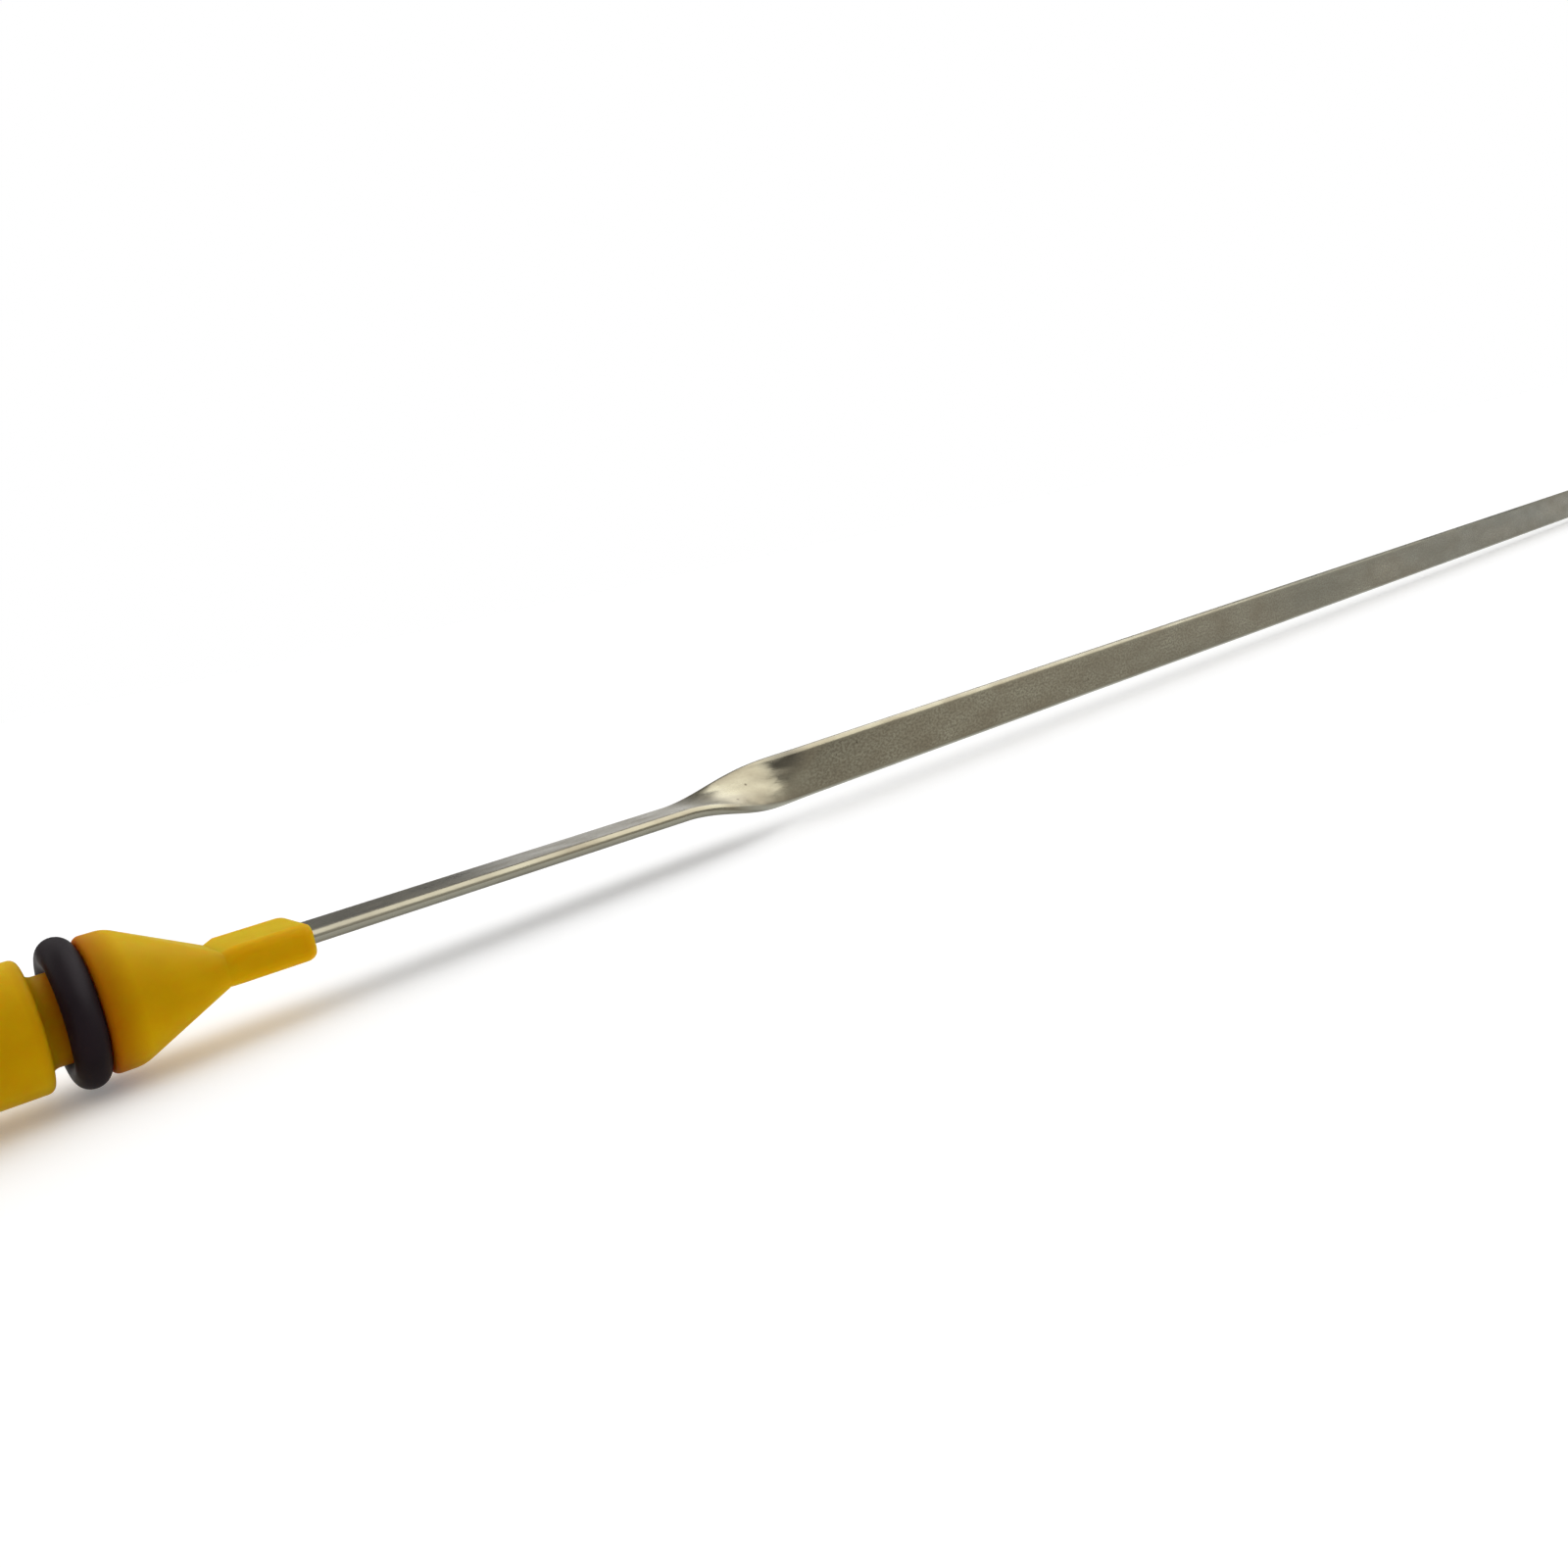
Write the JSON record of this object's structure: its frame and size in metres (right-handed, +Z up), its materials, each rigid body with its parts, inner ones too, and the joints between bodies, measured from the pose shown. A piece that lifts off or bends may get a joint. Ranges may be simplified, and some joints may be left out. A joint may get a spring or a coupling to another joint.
{
  "type": "engine oil dipstick",
  "caption": "Engine oil dipstick: a flat steel blade with a quarter-turn twist, moulded into a yellow plastic plug with a finger loop and a rubber O-ring that seals the guide tube.",
  "frame": {"origin": "middle of the footprint, on the table that the dipstick lies on", "axes": "+X along the dipstick from the finger loop to the blade's tip, +Z up"},
  "size_m": [0.4456, 0.03, 0.012],
  "materials": {
    "yellow_plastic": "satin moulded plastic",
    "black_rubber": "smooth moulded rubber",
    "steel": "rolled strip, lightly stained"
  },
  "bodies": {
    "root": {"handle": "yellow_plastic", "o_ring": "black_rubber", "blade": "steel"}
  },
  "joints": []
}
